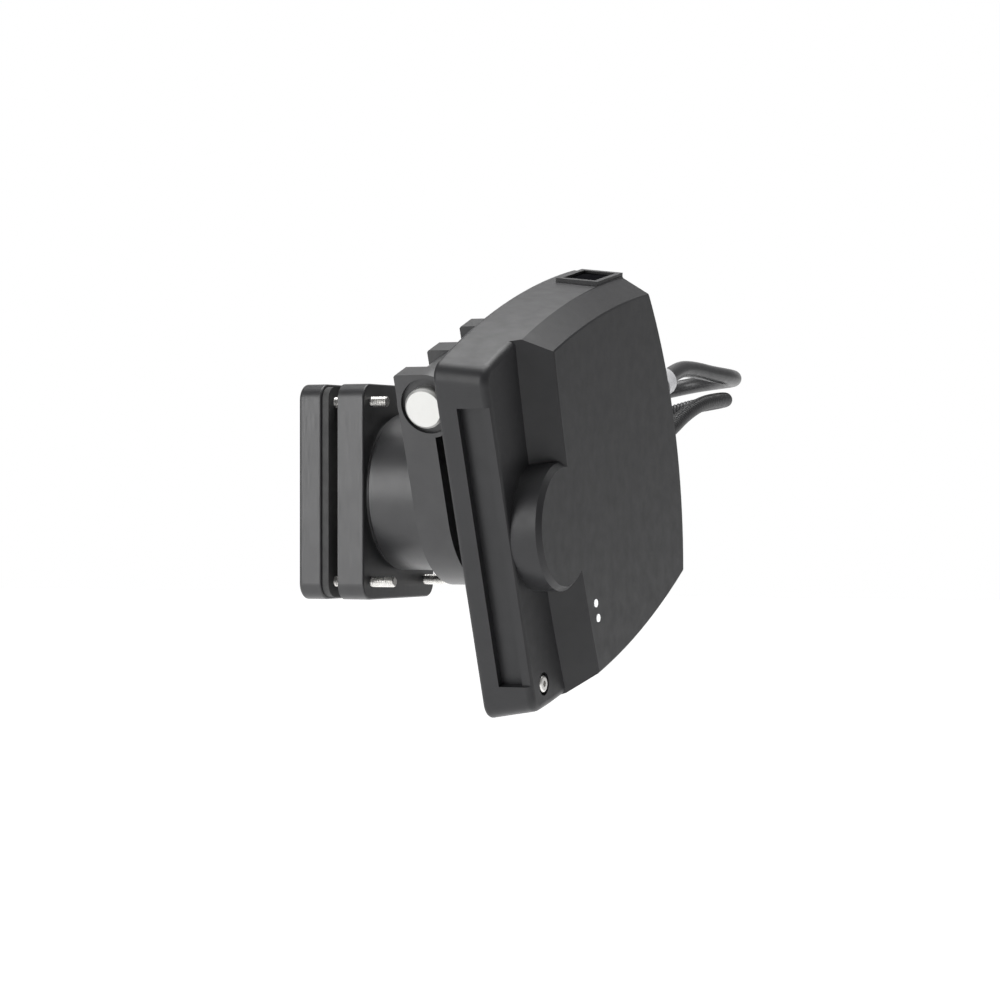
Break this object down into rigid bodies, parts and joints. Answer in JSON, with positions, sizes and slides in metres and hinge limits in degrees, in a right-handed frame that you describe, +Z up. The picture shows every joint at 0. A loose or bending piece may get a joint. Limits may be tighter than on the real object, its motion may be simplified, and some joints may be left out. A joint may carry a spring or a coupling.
{
  "type": "swivelling electrical head",
  "caption": "Black electrical head with a bowed shield-shaped cover, hung on a hinge and a turning neck from a two-plate panel clamp.",
  "frame": {"origin": "centre of the front clamp plate's rear face, where the panel lies against it, on the neck's axis", "axes": "+X along the neck's axis from the panel towards the head, +Z up, +Y across; the neck and head are turned 19.8 degrees about +X at rest"},
  "size_m": [0.1697, 0.43, 0.2489],
  "materials": {
    "black_metal": "black, satin, machined",
    "black_rubber": "matte",
    "stainless": "satin, machined",
    "bearing_plastic": "matte",
    "black_steel": "black oxide, satin",
    "pin_steel": "turned, satin",
    "nickel": "satin plating",
    "black_shell": "black, satin, very fine grain",
    "dark_window": "dark tinted, gloss",
    "black_plastic": "matte, moulded",
    "circuit_board": "solder mask, satin",
    "green_plastic": "matte, moulded",
    "capacitor_sleeve": "gloss",
    "copper_winding": "enamelled wire, gloss",
    "clear_lens": "clear, gloss",
    "grey_collar": "light grey, satin",
    "cable_jacket": "smooth, satin",
    "conduit_plastic": "corrugated, satin"
  },
  "bodies": {
    "mount": {"clamp_plate_rear": "black_metal", "clamp_gasket": "black_rubber", "clamp_plate_front": "black_metal", "clamp_bolts": "stainless", "swivel_bush": "black_plastic"},
    "neck": {"neck_tube": "black_metal", "swivel_retaining_ring": "stainless", "retaining_ring_screws": "stainless", "hinge_plate": "black_metal", "hinge_plate_screws": "black_steel", "hinge_pin": "pin_steel", "hinge_pin_cap": "black_metal", "neck_cable_glands": "black_plastic"},
    "head": {"hinge_bracket": "black_metal", "hinge_bracket_screws": "stainless", "knuckle_bushes": "bearing_plastic", "rest_bumpers": "black_rubber", "rear_shell": "black_shell", "front_cover": "black_shell", "cover_gasket": "black_rubber", "cover_screws": "black_steel", "corner_screw": "stainless", "window_bezel": "black_shell", "window_lens": "dark_window", "window_sensor": "black_plastic", "main_board": "circuit_board", "board_standoffs": "nickel", "board_screws": "stainless", "terminal_block": "green_plastic", "power_module": "black_plastic", "output_relay": "black_plastic", "board_capacitors": "capacitor_sleeve", "ring_choke": "copper_winding", "status_light_pipes": "clear_lens", "status_leds": "clear_lens", "head_cable_glands": "black_plastic", "power_boot": "black_rubber", "power_collar": "grey_collar", "power_cable": "cable_jacket", "conduit_boot": "black_rubber", "conduit_collar": "grey_collar", "conduit_cable": "conduit_plastic"}
  },
  "joints": [
    {"name": "neck_swivel", "type": "hinge", "parent": "mount", "child": "neck", "pos_m": [0, 0, 0], "axis": [1, 0, 0], "range_deg": [-109.8, 70.2]},
    {"name": "head_tilt", "type": "hinge", "parent": "neck", "child": "head", "pos_m": [0.068, -0.02286, 0.06351], "axis": [0, -0.9409, -0.3387], "range_deg": [0, 90], "deforming": ["power_cable", "conduit_cable"]}
  ]
}
